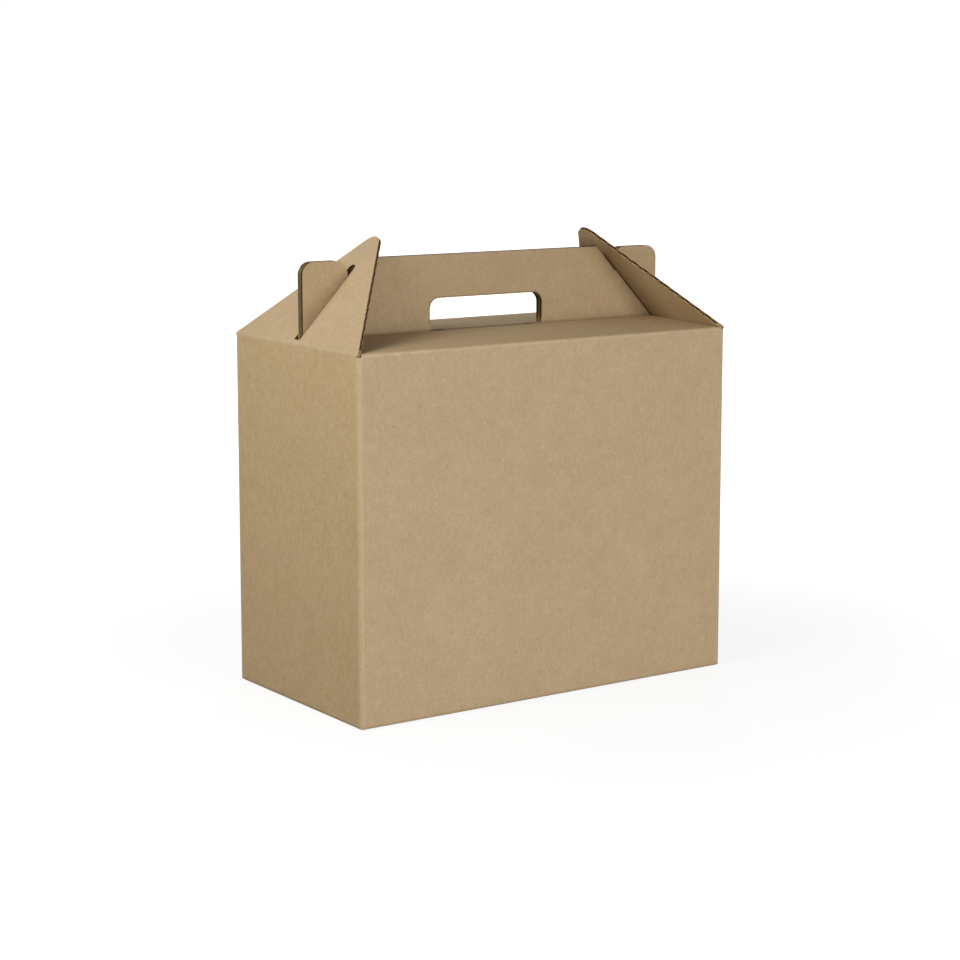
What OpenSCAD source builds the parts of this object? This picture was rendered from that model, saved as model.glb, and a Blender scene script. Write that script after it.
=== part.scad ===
/* [Box] */
// Length of the box, over the two end walls
box_l = 350; // [260:5:460]
// Depth of the box, over the front and back walls
box_d = 186; // [150:2:260]
// Height of the walls, from the floor to the top folds
box_h = 283; // [150:1:380]
// Outer radius of the board where it is folded square
fold_r = 3.2; // [1.5:0.1:4]

/* [Board] */
// Thickness of the corrugated board
board_t = 2.8; // [2:0.1:4]
// Length of one full wave of the paper inside the board
flute_pitch = 6.6; // [5:0.1:9]
// Thickness of the flat paper on each side of the board
liner_t = 0.35; // [0.2:0.05:0.5]
// Thickness of the wavy paper inside the board
medium_t = 0.3; // [0.2:0.05:0.4]
// Width of the glued stretch on each crest of the wave
glue_line = 1; // [0.6:0.1:1.4]
// How deep the hollows are cut into an edge that they meet end on
flute_sight = 4; // [2:0.5:10]
// How far from a fold the board is crushed flat by the crease
crush = 4; // [3:0.5:8]

/* [Roof and handle] */
// How much the two roof panels rise from the wall to the handle
roof_rise = 2.4; // [0:0.1:8]
// Height of the handle's top edge above the top folds
handle_h = 62.5; // [56:0.5:90]
// Gap between the front and back handle panels
handle_gap = 1.8; // [0.6:0.1:4]
// How far each handle end stays inside the end of the box
handle_inset = 0.7; // [0.2:0.1:3]
// How much shorter the left tab is cut than the right one
left_trim = 5.2; // [0:0.2:8]
// How much lower the outer tabs are than the middle of the handle
tab_drop = 1; // [0:0.1:4]
// Height of the outer tabs' lower edge above the top folds
tab_lift = 0.5; // [0.3:0.1:3]
// Radius of the tab's outer top corner
tab_corner_r = 10; // [2:0.5:20]
// Radius of the tab's round inner shoulder, beside the notch
shoulder_r = 11; // [6:0.5:14]

/* [Hand hole] */
// Length of the hand hole
hole_l = 109; // [80:1:140]
// How far the hand hole lies to the right of the middle
hole_shift = 1; // [0:0.2:4]
// Height of the hand hole above the roof crease
hole_h = 25.7; // [20:0.1:32]
// Radius of the hand hole's upper corners
hole_r = 8.5; // [3:0.5:10]
// Radius of the hand hole's lower corners
hole_foot_r = 4; // [2:0.5:6]
// How far the hand hole's ends are cut down into the roof crease
hole_dip = 1.5; // [0.5:0.1:2]
// Length of each of those cuts in the crease
hole_dip_l = 15; // [6:1:30]

/* [End flaps] */
// Length of an end flap from its fold to where its edges would meet
flap_l = 114.5; // [108:0.5:140]
// Angle of a closed end flap above the level
flap_lean = 46.8; // [40:0.2:60]
// Radius of the flap's rounded tip
flap_tip_r = 12; // [4:0.5:20]
// How much narrower the flap is cut than the wall, each side
flap_inset = 1; // [0.5:0.1:3]
// Length of the slot from the fold to its round end
slot_l = 78.5; // [76:0.5:84]
// Room in the slot on each side of the handle
slot_clearance = 0.4; // [0.3:0.1:2]
// How much the relief hole at the foot of the slot is wider, each side
slot_relief = 0.6; // [0.5:0.1:3]

/* [Fits] */
// Gap between a flap's folded edge and the top of the end wall
fold_gap = 0.3; // [0.2:0.1:1]
// Gap between a roof panel's end and the end wall
roof_end_gap = 0.5; // [0.3:0.1:2]
// Gap between a closed flap's inner face and what lies under it
flap_seat_gap = 0.4; // [0.2:0.1:1]
// Gap between the notch in the handle and a closed flap's inner face
notch_gap = 0.4; // [0.3:0.1:2]
// Length of the slot and notch that overlap with nothing in them
notch_overlap = 16; // [13:0.5:20]
// How much the shoulder is set back to pass the slot's end as the flap swings
foot_ease = 2; // [1:0.5:4]

/* [Bottom and side seam] */
// Width of the seam lines between the bottom flaps
seam_w = 0.8; // [0.4:0.1:1.5]
// Depth of the seam lines
seam_d = 2; // [0.5:0.1:2.5]
// How far the side edge of the front bottom flap is cut in from the end wall
side_ease = 8; // [4:0.5:15]
// Depth of the front bottom flap at its shoulders
lock_flap_d = 80; // [50:1:88]
// Width of the tongue on the front bottom flap
tongue_w = 175; // [100:1:200]
// How far the tongue reaches past the shoulders
tongue_d = 25; // [10:1:40]
// Reach of the two end bottom flaps
side_flap_d = 65; // [40:1:80]
// Width of the glued side seam's inner strip
glue_w = 35; // [20:1:50]
// How far the glued strip stops short of the top and bottom folds
glue_short = 8; // [3:1:20]

/* [Hidden] */
$fn = 48;
eps = 0.01;
kraft = "#B59F7C";
kraft_light = "#C3AA87";

// The outer face of each handle panel, measured from the middle of the box
handle_face = handle_gap / 2 + board_t;
handle_end = box_l / 2 - handle_inset;
handle_top = box_h + handle_h;
tab_top = handle_top - tab_drop;
crease_z = box_h + roof_rise;

// The fold line of an end flap runs through the middle of the board
fold_x = box_l / 2 - board_t / 2;
fold_z = box_h - board_t / 2 * tan((90 - flap_lean) / 2);
wall_top = fold_z - board_t / 2 - fold_gap;
roof_end = box_l / 2 - board_t - roof_end_gap;

slot_w = 2 * (handle_face + slot_clearance);
flap_half_w = box_d / 2 - flap_inset;
notch_foot = slot_l - notch_overlap;

// Rectangle about the origin with round corners
module round_rect(size_x, size_y, r) {
    square([size_x - 2 * r, size_y], center = true);
    square([size_x, size_y - 2 * r], center = true);
    for (sx = [-1, 1], sy = [-1, 1])
        translate([sx * (size_x / 2 - r), sy * (size_y / 2 - r)])
            circle(r);
}

// Side outline of walls and roof, seen along the box: half depth to the right
module cross_section() {
    translate([0, box_h / 2])
        round_rect(box_d, box_h, fold_r);
    polygon([
        [fold_r - box_d / 2, box_h - eps],
        [box_d / 2 - fold_r, box_h - eps],
        [handle_face, crease_z],
        [-handle_face, crease_z]
    ]);
}

// Height of the wave's upper side at x, from the middle of the board
function wave(x) =
    medium_t / 2 - (board_t / 2 - liner_t - medium_t / 2) * cos(360 * x / flute_pitch);

// Section of one hollow between the wavy paper and the flat paper above it
module hollow() {
    reach = (flute_pitch - glue_line) / 2;
    polygon(concat(
        [[reach, board_t / 2 - liner_t], [-reach, board_t / 2 - liner_t]],
        [for (k = [-2 : 2]) [k * reach / 3, wave(k * reach / 3)]]
    ));
}

// Hollows of the board along its flutes, up from the origin, on both sides of the wave
module flutes(width, length) {
    last = floor(width / flute_pitch);
    linear_extrude(length)
        for (i = [-last : last])
            translate([i * flute_pitch / 2, 0])
                scale([1, i % 2 == 0 ? 1 : -1])
                    hollow();
}

module along_length(length) {
    rotate([90, 0, 90])
        linear_extrude(length, center = true)
            children();
}

module along_depth(length) {
    rotate([90, 0, 0])
        linear_extrude(length, center = true)
            children();
}

// Everything between the walls, up to the under side of the roof
module inner_space() {
    along_length(box_l - 2 * board_t)
        polygon([
            [board_t - box_d / 2, board_t],
            [box_d / 2 - board_t, board_t],
            [box_d / 2 - board_t, box_h - board_t],
            [handle_face, crease_z - board_t],
            [-handle_face, crease_z - board_t],
            [board_t - box_d / 2, box_h - board_t]
        ]);
}

// Gap between the two roof panels, round where each turns up into the handle
module centre_gap() {
    along_length(box_l)
        for (side = [-1, 1])
            scale([side, 1])
                difference() {
                    translate([-eps, crease_z - board_t - eps])
                        square([handle_face + eps, board_t + 2 * eps]);
                    translate([handle_face, crease_z])
                        circle(board_t);
                }
}

// Place a shape drawn from the fold line: x runs up the flap, z into the box
module in_flap_plane(side) {
    translate([side * fold_x, 0, fold_z])
        scale([side, 1, 1])
            rotate([0, -(180 - flap_lean), 0])
                children();
}

// Thin cut that follows a path on the under side
module seam(path) {
    translate([0, 0, -eps])
        linear_extrude(seam_d + eps)
            for (i = [0 : len(path) - 2]) {
                step = path[i + 1] - path[i];
                translate(path[i])
                    rotate(atan2(step[1], step[0]))
                        translate([-seam_w / 2, -seam_w / 2])
                            square([norm(step) + seam_w, seam_w]);
            }
}

// Seams where the four bottom flaps lock into each other
module bottom_seams() {
    shoulder_y = lock_flap_d - box_d / 2;
    for (side = [-1, 1])
        scale([side, 1, 1]) {
            seam([
                [box_l / 2 - fold_r, fold_r - box_d / 2],
                [box_l / 2 - side_ease, shoulder_y],
                [tongue_w / 2, shoulder_y],
                [tongue_w / 2, shoulder_y + tongue_d],
                [0, shoulder_y + tongue_d]
            ]);
            seam([
                [box_l / 2 - fold_r, box_d / 2 - fold_r],
                [box_l / 2 - side_flap_d, box_d / 2 - side_flap_d],
                [box_l / 2 - side_flap_d, shoulder_y]
            ]);
        }
}

// Walls, roof and bottom as one folded shell
module shell() {
    difference() {
        intersection() {
            linear_extrude(handle_top)
                round_rect(box_l, box_d, fold_r);
            along_length(box_l)
                cross_section();
            along_depth(box_d)
                translate([0, box_h])
                    round_rect(box_l, 2 * box_h, fold_r);
        }
        inner_space();
        centre_gap();
        bottom_seams();
        for (side = [-1, 1]) {
            // Room for the flap's folded edge, down to the end wall's top
            translate([side * (roof_end + box_l / 2), 0, wall_top + box_h / 2])
                cube([box_l, box_d + 2 * eps, box_h], center = true);
            // The roof's end is pressed flat under the closed flap
            in_flap_plane(side)
                translate([0, -box_d / 2 - eps, -box_l / 4])
                    cube([box_l / 2, box_d + 2 * eps, box_l / 4 + board_t / 2 + flap_seat_gap]);
        }
        // Slit beside the back wall's cut edge at the glued corner
        translate([box_l / 2 - board_t - seam_w, box_d / 2 - board_t, -eps])
            cube([seam_w, board_t + eps, wall_top + eps]);
    }
}

// Second layer of the bottom flaps and the strip of the glued side seam
module inner_layers() {
    translate([board_t / 2 - box_l / 2, board_t / 2 - box_d / 2, board_t - eps])
        cube([box_l - board_t, box_d - board_t, board_t]);
    translate([box_l / 2 - board_t / 2 - glue_w, box_d / 2 - 2 * board_t, board_t])
        cube([glue_w, board_t + eps, box_h - 2 * glue_short]);
}

// Hand hole through both panels: its lower edge is the crease, nicked at both ends
module hand_hole() {
    full_h = hole_h + hole_dip;
    rotate([90, 0, 0])
        linear_extrude(2 * handle_face, center = true)
            translate([hole_shift, crease_z - hole_dip])
                difference() {
                    union() {
                        translate([0, full_h / 2])
                            round_rect(hole_l, full_h, hole_r);
                        translate([0, full_h / 4])
                            round_rect(hole_l, full_h / 2, hole_foot_r);
                    }
                    translate([0, hole_dip / 2])
                        square([hole_l - 2 * hole_dip_l, hole_dip], center = true);
                }
}

// Where a tab ends, measured from the middle of the box
function tab_end(side) = handle_end - (side < 0 ? left_trim : 0);

// Outline of one half of a handle panel, from the middle to the tab's end
module half_handle(end) {
    shoulder = [
        fold_x - (notch_foot - foot_ease) * cos(flap_lean) + (shoulder_r - notch_gap) * sin(flap_lean),
        tab_top - shoulder_r
    ];
    difference() {
        translate([-eps, box_h + tab_lift])
            square([end + eps, handle_top - box_h - tab_lift]);
        // The tab reaches lower than the crease only past the roof's end
        translate([-2 * eps, 0])
            square([roof_end + 2 * eps, crease_z - eps]);
        // The tab stands a little lower than the middle of the handle
        translate([shoulder[0], tab_top])
            square([box_l, box_l]);
        // Round outer corner of the tab
        difference() {
            translate([end - tab_corner_r, tab_top - tab_corner_r])
                square(2 * tab_corner_r);
            translate([end - tab_corner_r, tab_top - tab_corner_r])
                circle(tab_corner_r);
        }
        // Notch that the flap drops into, with the shoulder's round left standing
        difference() {
            intersection() {
                translate([fold_x, fold_z])
                    rotate(180 - flap_lean)
                        translate([notch_foot, -box_l])
                            square([box_l, box_l + board_t / 2 + notch_gap]);
                translate([0, box_h])
                    square([shoulder[0], box_h]);
            }
            translate(shoulder)
                circle(shoulder_r);
        }
    }
}

// The handle's hollows where a cut edge opens them: end on at the top and over the
// hand hole, and lengthwise at the tabs' ends and the hand hole's ends
module open_flutes() {
    intersection() {
        translate([0, 0, crease_z + crush])
            flutes(box_l, handle_h);
        union() {
            translate([0, 0, tab_top])
                cube([box_l, box_d, 2 * flute_sight], center = true);
            translate([hole_shift, 0, crease_z + hole_h])
                cube([hole_l, box_d, 2 * flute_sight], center = true);
            for (side = [-1, 1], x = [hole_shift + side * hole_l / 2, side * tab_end(side)])
                translate([x, 0, crease_z])
                    cube([flute_pitch, box_d, 2 * handle_h], center = true);
        }
    }
}

module handle_panel() {
    difference() {
        rotate([90, 0, 0])
            linear_extrude(board_t, center = true)
                for (side = [-1, 1])
                    scale([side, 1])
                        half_handle(tab_end(side));
        open_flutes();
    }
}

// The folded sheet: walls, bottom, roof and the two handle panels
module carton() {
    color(kraft)
        difference() {
            union() {
                shell();
                inner_layers();
                for (side = [-1, 1])
                    translate([0, side * (handle_face - board_t / 2), 0])
                        handle_panel();
            }
            hand_hole();
        }
}

// Outline of an end flap: x runs from the fold line to the tip
module flap_outline() {
    half_angle = atan(flap_half_w / flap_l);
    tip_x = flap_l - flap_tip_r / sin(half_angle);
    touch_x = tip_x + flap_tip_r * sin(half_angle);
    touch_y = flap_tip_r * cos(half_angle);
    difference() {
        union() {
            polygon([
                [0, -flap_half_w],
                [touch_x, -touch_y],
                [touch_x, touch_y],
                [0, flap_half_w]
            ]);
            translate([tip_x, 0])
                circle(flap_tip_r);
        }
        translate([-board_t, -slot_w / 2])
            square([slot_l - slot_w / 2 + board_t, slot_w]);
        translate([slot_l - slot_w / 2, 0])
            circle(slot_w / 2);
        circle(slot_w / 2 + slot_relief);
    }
}

module end_flap(side) {
    color(kraft_light)
        in_flap_plane(side)
            union() {
                difference() {
                    translate([0, 0, -board_t / 2])
                        linear_extrude(board_t)
                            flap_outline();
                    translate([crush, 0, 0])
                        rotate([90, 0, 90])
                            flutes(box_d, flap_l);
                }
                // The folded edge turns about the middle of the board
                difference() {
                    rotate([90, 0, 0])
                        cylinder(2 * flap_half_w, r = board_t / 2, center = true);
                    cube([2 * board_t, slot_w + 2 * slot_relief, 2 * board_t], center = true);
                }
            }
}

module left_end_flap() {
    end_flap(-1);
}

module right_end_flap() {
    end_flap(1);
}

carton();
left_end_flap();
right_end_flap();
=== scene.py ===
import math

import bmesh
import bpy
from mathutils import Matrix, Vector


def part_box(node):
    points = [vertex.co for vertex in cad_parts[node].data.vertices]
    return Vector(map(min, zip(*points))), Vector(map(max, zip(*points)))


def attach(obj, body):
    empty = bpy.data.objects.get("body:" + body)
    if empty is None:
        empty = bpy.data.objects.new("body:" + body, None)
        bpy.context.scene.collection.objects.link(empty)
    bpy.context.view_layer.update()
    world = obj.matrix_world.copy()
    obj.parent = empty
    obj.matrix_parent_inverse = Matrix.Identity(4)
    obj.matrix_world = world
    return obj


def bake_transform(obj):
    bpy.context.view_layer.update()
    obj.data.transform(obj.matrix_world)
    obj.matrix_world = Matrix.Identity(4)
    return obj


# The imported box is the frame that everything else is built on
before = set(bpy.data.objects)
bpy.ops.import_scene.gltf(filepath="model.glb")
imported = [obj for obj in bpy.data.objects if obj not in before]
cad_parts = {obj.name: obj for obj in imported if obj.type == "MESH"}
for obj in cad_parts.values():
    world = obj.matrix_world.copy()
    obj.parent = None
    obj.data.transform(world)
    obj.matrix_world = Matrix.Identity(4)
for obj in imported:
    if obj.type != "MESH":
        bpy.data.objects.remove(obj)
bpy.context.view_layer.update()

# The camera stands in front of the left front corner, a little above the handle, with a long lens.
# It looks a few degrees down, and a small lens shift lifts the box to its place in the picture.
camera_place = (-1.0457, -1.5105, 0.4778)
camera_turn = math.radians(34.62)
camera_dip = math.radians(8.61)
sensor_mm = 36
lens_mm = 86.05
picture_px = 960
lift_px = 48
bpy.ops.object.camera_add(location=camera_place, rotation=(math.pi / 2 - camera_dip, 0, -camera_turn))
camera = bpy.context.object
camera.name = "camera"
camera.data.sensor_width = sensor_mm
camera.data.lens = lens_mm
camera.data.shift_y = -lift_px / picture_px
bpy.context.scene.camera = camera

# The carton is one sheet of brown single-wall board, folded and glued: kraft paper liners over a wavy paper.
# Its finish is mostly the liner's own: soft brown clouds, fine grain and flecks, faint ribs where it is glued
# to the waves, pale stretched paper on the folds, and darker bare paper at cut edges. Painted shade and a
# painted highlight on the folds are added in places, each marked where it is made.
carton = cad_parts["carton"]
carton_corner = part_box("carton")[1]
half_length = carton_corner.x
half_depth = carton_corner.y
top_fold = 0.283
roof_crease = 0.2854
handle_face = 0.0037
board_half = 0.0014
handle_middle = handle_face - board_half
sliver = 0.0001
flute_pitch = 0.0066
score_offset = 0.0048
tab_end_depth = 0.008
flap_lean = math.radians(46.8)
fold_out = 0.1736
fold_up = 0.282446
hole_shift = 0.001
hole_half_l = 0.0545
hole_half_h = 0.01285
hole_level = roof_crease + hole_half_h
hole_corner = 0.0085
kraft_dark = (0.42, 0.308, 0.184, 1)
kraft_light = (0.482, 0.36, 0.228, 1)
kraft_yellowed = (1, 0.995, 0.94, 1)
dark_speck = (0.21, 0.135, 0.065, 1)
pale_speck = (0.66, 0.55, 0.4, 1)
pale_paper = (0.6, 0.47, 0.32, 1)
rounded_corner = (0.88, 0.86, 0.8, 1)
score_groove_shade = (0.82, 0.8, 0.76, 1)
painted_crease_shade = (0.66, 0.6, 0.52, 1)
painted_handle_shade = (0.86, 0.85, 0.82, 1)
end_wall_shade_hue = (1, 0.98, 0.89, 1)
painted_roof_shade = (0.92, 0.9, 0.84, 1)
painted_hole_rim_shade = (0.6, 0.52, 0.42, 1)
painted_flap_shadow = (0.7, 0.66, 0.6, 1)
bare_edge = (0.42, 0.33, 0.24, 1)
painted_tab_end_shade = (0.36, 0.3, 0.23, 1)


class Value:
    """A node's output that does arithmetic: each operator adds the Math node for it."""

    def __init__(self, finish, socket):
        self.finish = finish
        self.socket = socket

    def math(self, operation, *others):
        return self.finish.node("Math", {"operation": operation}, dict(enumerate((self, *others))))

    def __add__(self, other):
        return self.math("ADD", other)

    def __mul__(self, other):
        return self.math("MULTIPLY", other)

    def __sub__(self, other):
        return self.math("SUBTRACT", other)

    def __rsub__(self, other):
        return self.finish.node("Math", {"operation": "SUBTRACT"}, {0: other, 1: self})

    def __abs__(self):
        return self.math("ABSOLUTE")

    def __gt__(self, other):
        return self.math("GREATER_THAN", other)

    def __lt__(self, other):
        return self.math("LESS_THAN", other)

    __radd__ = __add__
    __rmul__ = __mul__

    def least(self, other):
        return self.math("MINIMUM", other)

    def most(self, other):
        return self.math("MAXIMUM", other)


class Finish:
    """The nodes of one material or world. node() adds any node: its type, its settings, its sockets."""

    def __init__(self, owner):
        owner.use_nodes = True
        self.owner = owner
        self.nodes = owner.node_tree.nodes
        self.links = owner.node_tree.links

    def node(self, kind, settings=None, sockets=None, output=0):
        made = self.nodes.new("ShaderNode" + kind)
        for key, setting in (settings or {}).items():
            setattr(made, key, setting)
        for key, value in (sockets or {}).items():
            self.plug(made, key, value)
        return Value(self, made.outputs[output])

    def plug(self, target, key, value):
        if isinstance(value, Value):
            self.links.new(value.socket, target.inputs[key])
        else:
            target.inputs[key].default_value = value

    def split(self, vector):
        parts = self.node("SeparateXYZ", sockets={0: vector}).socket.node
        return [Value(self, part) for part in parts.outputs]

    def spread(self, place, stretch):
        return self.node("Mapping", sockets={"Vector": place, "Scale": stretch})

    def noise(self, place, size, detail=2.0, stretch=(1, 1, 1)):
        """Cloudy noise from about -0.5 to 0.5, whose clouds are size metres across."""
        settings = {"Vector": self.spread(place, stretch), "Scale": 1 / size, "Detail": detail}
        return self.node("TexNoise", sockets=settings) - 0.5

    def flecks(self, place, spacing, radius, share, stretch=(1, 1, 1)):
        """Small scattered flecks, in a share of cells that are spacing metres across."""
        settings = {"Vector": self.spread(place, stretch), "Scale": 1 / spacing}
        cells = self.node("TexVoronoi", sockets=settings)
        chance = self.split(Value(self, cells.socket.node.outputs["Color"]))[0]
        return self.step(cells, radius / spacing, 0) * (chance < share)

    def mix(self, factor, low, high):
        return self.node("Mix", {"data_type": "RGBA"}, {0: factor, 6: low, 7: high}, output=2)

    def tint(self, amount, colour, by):
        settings = {"data_type": "RGBA", "blend_type": "MULTIPLY"}
        return self.node("Mix", settings, {0: amount, 6: colour, 7: by}, output=2)

    def step(self, value, start, end):
        """Smooth step from 0 at start to 1 at end; start may be the larger."""
        return self.node("MapRange", {"interpolation_type": "SMOOTHSTEP"}, {0: value, 1: start, 2: end})


class Board(Finish):
    """Kraft liner on corrugated board: its colour and relief start here, and each part adds its own marks."""

    def __init__(self, name):
        super().__init__(bpy.data.materials.new(name))
        coordinates = self.node("TexCoord").socket.node
        self.place = Value(self, coordinates.outputs["Object"])
        self.facing = self.split(Value(self, coordinates.outputs["Normal"]))
        clouds = self.noise(self.place, size=0.05, detail=2)
        mottle = self.noise(self.place, size=0.009, detail=2)
        grain = self.noise(self.place, size=0.0022, detail=3)
        fibres = self.noise(self.place, size=0.0016, detail=2, stretch=(1, 1, 0.22))
        stronger_on_ends = 1 + 0.5 * (abs(self.facing[0]) > 0.9)
        shade = clouds * 0.3 + mottle * 0.4 + (grain * 0.8 + fibres * 0.45) * stronger_on_ends
        brown = self.mix(self.step(shade, -0.3, 0.3), kraft_dark, kraft_light)
        yellowed = self.step(self.noise(self.place, size=0.015, detail=3), -0.2, 0.2)
        brown = self.tint(yellowed, brown, kraft_yellowed)
        dark_flecks = self.flecks(self.place, spacing=0.0047, radius=0.0008, share=0.4, stretch=(1, 1, 0.6))
        pale_flecks = self.flecks(self.place, spacing=0.0055, radius=0.0009, share=0.4, stretch=(0.7, 0.7, 1))
        brown = self.mix(dark_flecks * 0.65, brown, dark_speck)
        self.brown = self.mix(pale_flecks * 0.5, brown, pale_speck)
        self.grain = grain
        waviness = self.noise(self.place, size=0.07, detail=1)
        self.relief = waviness * 0.0012 + mottle * 0.00012 + grain * 0.00009 + fibres * 0.00006
        self.relief = self.relief - dark_flecks * 0.0001 + pale_flecks * 0.00006

    def ribs(self, across):
        """The faint ribs of the wavy paper below the liner."""
        self.relief = self.relief + (across * (2 * math.pi / flute_pitch)).math("COSINE") * 0.00002

    def colour(self, amount, by):
        """Multiplies the brown by a colour, by the given amount."""
        self.brown = self.tint(amount, self.brown, by)

    def pale(self, amount):
        """Mixes in pale, stretched paper on a fold; on the carton's corner and top folds it also serves as a
        painted highlight.
        """
        self.brown = self.mix(amount, self.brown, pale_paper)

    def done(self):
        """Sends colour, roughness and relief to the shader and gives the material. Relief is in metres."""
        shader = self.nodes["Principled BSDF"]
        self.plug(shader, "Base Color", self.brown)
        self.plug(shader, "Roughness", 0.84 + self.grain * 0.2)
        shader.inputs["Specular IOR Level"].default_value = 0.1
        bump = self.node("Bump", sockets={"Height": self.relief * 1000, "Distance": 0.001, "Strength": 1.0})
        self.plug(shader, "Normal", bump)
        return self.owner


def board_of_carton():
    board = Board("kraft_board_carton")
    x, y, z = board.split(board.place)
    end_facing = abs(board.facing[0]) > 0.6
    board.ribs(x + (y - x) * end_facing)

    # How far each point lies from the nearest corner, bottom edge, top fold and crease
    from_end = half_length - abs(x)
    from_face = half_depth - abs(y)
    corner = from_end.most(from_face)
    foot = z + from_end.least(from_face)
    top = abs(top_fold - z).most(from_face)
    gable = abs(abs(y) - handle_face).most(abs(z - roof_crease))
    soft = board.noise(board.place, size=0.012, detail=2)
    # Pale paper along the corner folds and the top fold is partly stretched paper and partly a painted
    # highlight; the bottom edge is worn pale.
    pale_and_highlit_corner = board.step(corner + soft * 0.003, 0.0075, 0.003)
    rounded = board.step(from_end + from_face, 0.0034, 0.0019)
    chipped_and_highlit_top = board.step(top + soft * 0.004, 0.0026, 0.0010)
    worn = board.step(foot + soft * 0.002, 0.0022, 0.0006)
    board.pale(pale_and_highlit_corner * 0.2 + chipped_and_highlit_top * 0.3 + worn * 0.12)
    board.colour(rounded * 0.6, rounded_corner)
    # The score beside each corner is a shallow groove in the relief; its darker colour is painted shade of
    # that groove.
    score = board.step(abs(corner - score_offset), 0.0012, 0)
    board.colour(score * 0.35, score_groove_shade)
    # Painted shade darkens the inner crease where the roof meets the handle.
    crease_shade = board.step(gable, 0.0022, 0.0004)
    board.colour(crease_shade * 0.7, painted_crease_shade)
    board.relief = board.relief - score * 0.00012

    # Painted shade darkens the handle, most at its top; the end walls get a yellower tint that stands in for
    # their shadier light, and the roof is darkened by painted shade
    above = z > roof_crease + 0.0005
    handle_shade = above * (1 - 0.5 * board.step(z, 0.304, 0.288))
    board.colour(handle_shade, painted_handle_shade)
    board.colour(end_facing, end_wall_shade_hue)
    board.colour(board.facing[2] > 0.6, painted_roof_shade)

    # Painted shade darkens a thin rim around the hand hole, and a painted shadow darkens the handle where the
    # end flaps lean over it.
    # The handle's cut edges are bare, and the front panel's ends are cut through a hollow, painted dark as
    # its shade.
    past_side = (abs(x - hole_shift) - (hole_half_l - hole_corner)).most(0)
    past_top = (abs(z - hole_level) - (hole_half_h - hole_corner)).most(0)
    from_hole = (past_side * past_side + past_top * past_top).math("SQRT") - hole_corner
    hole_rim_shade = board.step(abs(from_hole), 0.0014, 0.0005) * (abs(y) < handle_face + sliver)
    board.colour(hole_rim_shade * 0.9, painted_hole_rim_shade)
    under_flap = (fold_out - abs(x)) * math.sin(flap_lean) - (z - fold_up) * math.cos(flap_lean)
    flap_shadow = board.step(under_flap, 0.018, 0.0014) * (under_flap > 0) * above
    board.colour(flap_shadow * 0.6, painted_flap_shadow)
    between = above * (abs(abs(y) - handle_middle) < board_half - sliver)
    at_end = abs(x) > half_length - tab_end_depth
    board.colour(between * (1 - at_end), bare_edge)
    board.colour(between * at_end * (y < handle_middle), painted_tab_end_shade)
    return board.done()


carton.data.materials.clear()
carton.data.materials.append(board_of_carton())

# The two end flaps are the same board, cut to a triangle with a slot for the handle and creased along the
# fold. Their flutes run up from the fold, so the slanted edges show the waves end on. The inner paper is a
# little yellower than the outer one; painted shade darkens it beside the slot, and a darker painted shadow
# lines the slot's rim.
slot_end = 0.0744
inner_paper = (1, 0.98, 0.92, 1)
painted_slot_shade = (0.5, 0.46, 0.4, 1)
painted_slot_rim_shadow = (0.42, 0.38, 0.32, 1)
crushed_fold = (0.55, 0.47, 0.37, 1)
painted_flute_hollow_shade = (0.26, 0.19, 0.13, 1)
flute_end = (0.75, 0.66, 0.54, 1)


def board_of_flap():
    board = Board("kraft_board_flap")
    x, y, z = board.split(board.place)
    board.ribs(y)
    inwards = fold_out - abs(x)
    upwards = z - fold_up
    along = inwards * math.cos(flap_lean) + upwards * math.sin(flap_lean)
    depth = inwards * math.sin(flap_lean) - upwards * math.cos(flap_lean)
    inner = depth > board_half - sliver
    from_slot = abs(y).most((along - slot_end) * 1.5)
    slot_shade = board.step(from_slot, 0.045, 0.004)
    board.colour(inner, inner_paper)
    board.colour(inner * slot_shade, painted_slot_shade)
    board.colour(inner * board.step(from_slot, 0.01, 0.0045), painted_slot_rim_shadow)

    # Between the liners the wavy paper's cut ends are light and its hollows are painted dark as shade. The
    # fold itself is crushed.
    between = (abs(depth) < board_half - sliver) * (along > 2 * board_half)
    face_x, face_y, face_z = board.facing
    crushed = (abs(face_y) > 0.6) * (along < 2 * board_half)
    board.colour(crushed, crushed_fold)
    face_along = face_x * (1 - 2 * (x > 0)) * math.cos(flap_lean) + face_z * math.sin(flap_lean)
    cut = abs(face_along) > 0.25
    board.colour(between * (1 - cut), painted_flute_hollow_shade)
    board.colour(between * cut, flute_end)
    return board.done()


flap_board = board_of_flap()
for name in ("left_end_flap", "right_end_flap"):
    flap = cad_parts[name]
    flap.data.materials.clear()
    flap.data.materials.append(flap_board)

# The outer paper runs on unbroken from each end wall over the fold and up the flap: a thin sheet drawn up
# the wall, spun round the fold line and drawn on up the flap. Beside the right tab it leaves the slot free;
# below the shorter left tab it runs across.
wall_end = 0.280746
paper_proud = 0.00003
paper_thick = 0.0002
strip_foot = 0.2788
strip_reach = 0.003
strip_inner = 0.0059
strip_outer = 0.0905
bend_rows = 4
spin_rows = 6


def board_at_fold():
    board = Board("kraft_board_fold")
    x, y, z = board.split(board.place)
    board.ribs(y)
    bent = board.step(abs(z - fold_up), 0.0016, 0)
    board.pale(bent * 0.2)
    # The wall part takes the end walls' yellower tint, which stands in for their shadier light.
    board.colour(board.step(z, fold_up, wall_end), end_wall_shade_hue)
    return board.done()


face_x = fold_out + board_half + paper_proud
up_flap = Vector((-math.cos(flap_lean), 0, math.sin(flap_lean))) * strip_reach
paper_at_fold = board_at_fold()


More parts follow.
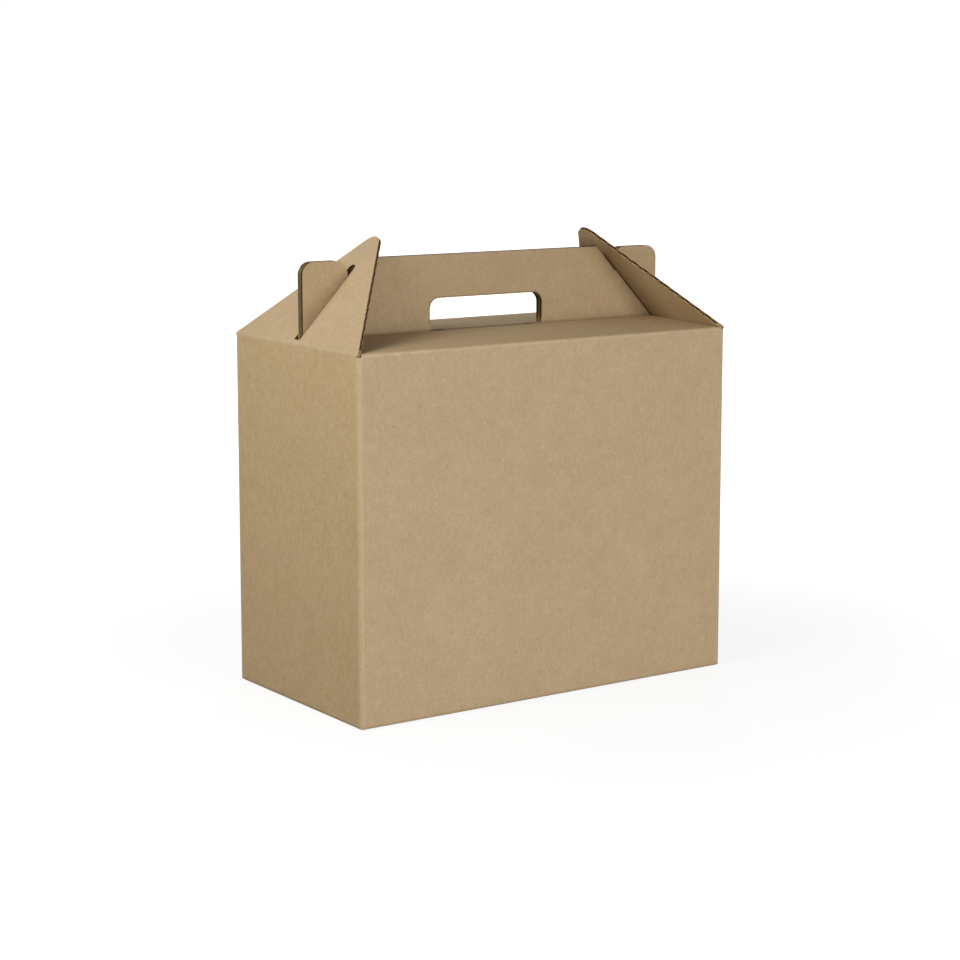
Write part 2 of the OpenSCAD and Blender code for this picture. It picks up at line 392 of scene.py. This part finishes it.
def fold_paper(name, inner_edge):
    """Outer paper over the right fold, from inner_edge out to the wall's corner, on both sides."""
    bpy.ops.object.select_all(action="DESELECT")
    bpy.ops.mesh.primitive_plane_add(
        size=1, location=(face_x, (strip_outer + inner_edge) / 2, (strip_foot + wall_end) / 2),
        rotation=(math.pi / 2, 0, math.pi / 2))
    paper = bpy.context.object
    paper.name = name
    paper.scale = (strip_outer - inner_edge, wall_end - strip_foot, 1)
    bpy.ops.object.transform_apply(location=True, rotation=True, scale=True)
    bpy.ops.object.mode_set(mode="EDIT")
    bpy.ops.mesh.select_all(action="DESELECT")
    mesh = bmesh.from_edit_mesh(paper.data)
    for vertex in mesh.verts:
        vertex.select = vertex.co.z > wall_end - paper_proud
    mesh.select_flush(True)
    rise = (fold_up - wall_end) / bend_rows
    for _ in range(bend_rows):
        bpy.ops.mesh.extrude_edges_move(TRANSFORM_OT_translate={"value": (0, 0, rise)})
    bpy.ops.mesh.spin(
        steps=spin_rows, angle=math.pi / 2 - flap_lean, center=(fold_out, 0, fold_up), axis=(0, 1, 0))
    bpy.ops.mesh.extrude_edges_move(TRANSFORM_OT_translate={"value": up_flap})
    bpy.ops.mesh.select_all(action="SELECT")
    bpy.ops.mesh.normals_make_consistent(inside=False)
    bpy.ops.object.mode_set(mode="OBJECT")
    both_sides = paper.modifiers.new("both_sides_of_slot", "MIRROR")
    both_sides.use_axis = (False, True, False)
    sheet = paper.modifiers.new("sheet", "SOLIDIFY")
    sheet.thickness = paper_thick
    sheet.offset = -1
    for modifier in ("both_sides_of_slot", "sheet"):
        bpy.ops.object.modifier_apply(modifier=modifier)
    paper.data.materials.append(paper_at_fold)
    return paper


def to_left_end(piece):
    """Mirrors a piece of the right end to the left one, with its faces turned out again."""
    bpy.ops.object.mode_set(mode="EDIT")
    bpy.ops.mesh.select_all(action="SELECT")
    bpy.ops.transform.resize(value=(-1, 1, 1), center_override=(0, 0, 0))
    bpy.ops.mesh.normals_make_consistent(inside=False)
    bpy.ops.object.mode_set(mode="OBJECT")


right_paper = fold_paper("right_fold_paper", strip_inner)
left_paper = fold_paper("left_fold_paper", 0)
to_left_end(left_paper)
for piece, side, body in ((right_paper, 1, "right_flap"), (left_paper, -1, "left_flap")):
    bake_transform(piece)

# Where a tab pushes through its slot it turns the flap's inner paper down along the slot's upper end. The
# lip is a ribbon drawn up one side of the slot, spun round its end and drawn down the other side.
slot_half = 0.0041
lip_thick = 0.00025
lip_start = 0.060
lip_top = 0.0009
lip_foot = 0.0023
lip_rows = 12

bpy.ops.object.select_all(action="DESELECT")
side_y = slot_half - lip_thick / 2
bpy.ops.mesh.primitive_plane_add(
    size=1, location=((lip_start + slot_end) / 2, side_y, (lip_top + lip_foot) / 2),
    rotation=(math.pi / 2, 0, 0))
lip = bpy.context.object
lip.name = "right_slot_lip"
lip.scale = (slot_end - lip_start, lip_foot - lip_top, 1)
bpy.ops.object.transform_apply(location=True, rotation=True, scale=True)
bpy.ops.object.mode_set(mode="EDIT")
bpy.ops.mesh.select_all(action="DESELECT")
mesh = bmesh.from_edit_mesh(lip.data)
for vertex in mesh.verts:
    vertex.select = vertex.co.x > slot_end - sliver
mesh.select_flush(True)
bpy.ops.mesh.spin(steps=lip_rows, angle=math.pi, center=(slot_end, 0, 0), axis=(0, 0, 1))
bpy.ops.mesh.extrude_edges_move(TRANSFORM_OT_translate={"value": (lip_start - slot_end, 0, 0)})
bpy.ops.mesh.select_all(action="SELECT")
bpy.ops.mesh.normals_make_consistent(inside=False)
bpy.ops.object.mode_set(mode="OBJECT")
wall = lip.modifiers.new("paper", "SOLIDIFY")
wall.thickness = lip_thick
wall.offset = 0
bpy.ops.object.modifier_apply(modifier="paper")
lip.rotation_euler = (0, flap_lean - math.pi, 0)
lip.location = (fold_out, 0, fold_up)
bpy.ops.object.transform_apply(location=True, rotation=True, scale=True)
lip.data.materials.append(flap_board)
bpy.ops.object.duplicate()
left_lip = bpy.context.object
left_lip.name = "left_slot_lip"
to_left_end(left_lip)
for piece, body in ((lip, "right_flap"), (left_lip, "left_flap")):
    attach(piece, body)

# The floor is a plain white sheet with a white surround. It keeps the box's soft shadow close by, and
# further off the camera sees it fade to plain white.
floor_radius = 6
floor_colour = (0.47, 0.47, 0.47, 1)
fade_start = 0.2
fade_end = 1.1
least_fade = 0.65
fade_glow = 1.3
pure_white = (1, 1, 1, 1)

bpy.ops.object.select_all(action="DESELECT")
bpy.ops.mesh.primitive_circle_add(vertices=64, radius=floor_radius, fill_type="NGON")
floor = bpy.context.object
floor.name = "floor"
sheet = Finish(bpy.data.materials.new("white_floor"))
sheet.nodes["Principled BSDF"].inputs["Base Color"].default_value = floor_colour
sheet.nodes["Principled BSDF"].inputs["Roughness"].default_value = 1


def seen_directly(finish):
    """1 where the camera looks, straight or by way of gloss or glass."""
    rays = finish.node("LightPath").socket.node.outputs
    seen = Value(finish, rays["Is Camera Ray"]).most(Value(finish, rays["Is Glossy Ray"]))
    return seen.most(Value(finish, rays["Is Transmission Ray"]))


place = sheet.node("TexCoord", output="Object")
distance = sheet.node("VectorMath", {"operation": "LENGTH"}, {0: place}, output="Value")
plain = sheet.step(distance, fade_start, fade_end) * (1 - least_fade) + least_fade
glow = sheet.node("Emission", sockets={"Color": pure_white, "Strength": fade_glow})
lit = Value(sheet, sheet.nodes["Principled BSDF"].outputs[0])
shown = sheet.node("MixShader", sockets={0: seen_directly(sheet) * plain, 1: lit, 2: glow})
sheet.plug(sheet.nodes["Material Output"], "Surface", shown)
floor.data.materials.append(sheet.owner)

# Plain studio light: an even white surround, two low soft lamps in front, two close ones high on the left
# that fall off down the end wall, and a low one behind for the back and right walls.
surround_light = 0.24
lamp_aim = Vector((0, 0, 0.17))

bpy.context.scene.world = bpy.data.worlds.new("surround")
surround = Finish(bpy.context.scene.world)
light = surround.node("Background", sockets={"Color": pure_white, "Strength": surround_light})
white = surround.node("Background", sockets={"Color": pure_white, "Strength": 1})
both = surround.node("MixShader", sockets={0: seen_directly(surround), 1: light, 2: white})
surround.plug(surround.nodes["World Output"], "Surface", both)

for lamp_name, place, size, power in (
    ("front_lamp", (0.2, -3.0, 0.6), 1.2, 21.5),
    ("low_front_lamp", (0.0, -1.6, 0.15), 0.5, 11.2),
    ("left_lamp", (-0.9, -0.2, 0.75), 0.5, 5.3),
    ("high_left_lamp", (-0.65, 0.0, 0.85), 0.4, 1.9),
    ("back_lamp", (1.9, 2.3, 0.1), 0.5, 65),
):
    turn = (lamp_aim - Vector(place)).to_track_quat("-Z", "Y")
    bpy.ops.object.light_add(type="AREA", location=place, rotation=turn.to_euler())
    lamp = bpy.context.object
    lamp.name = lamp_name
    lamp.visible_camera = False
    lamp.data.size = size
    lamp.data.energy = power

bpy.context.scene.view_settings.view_transform = "Standard"
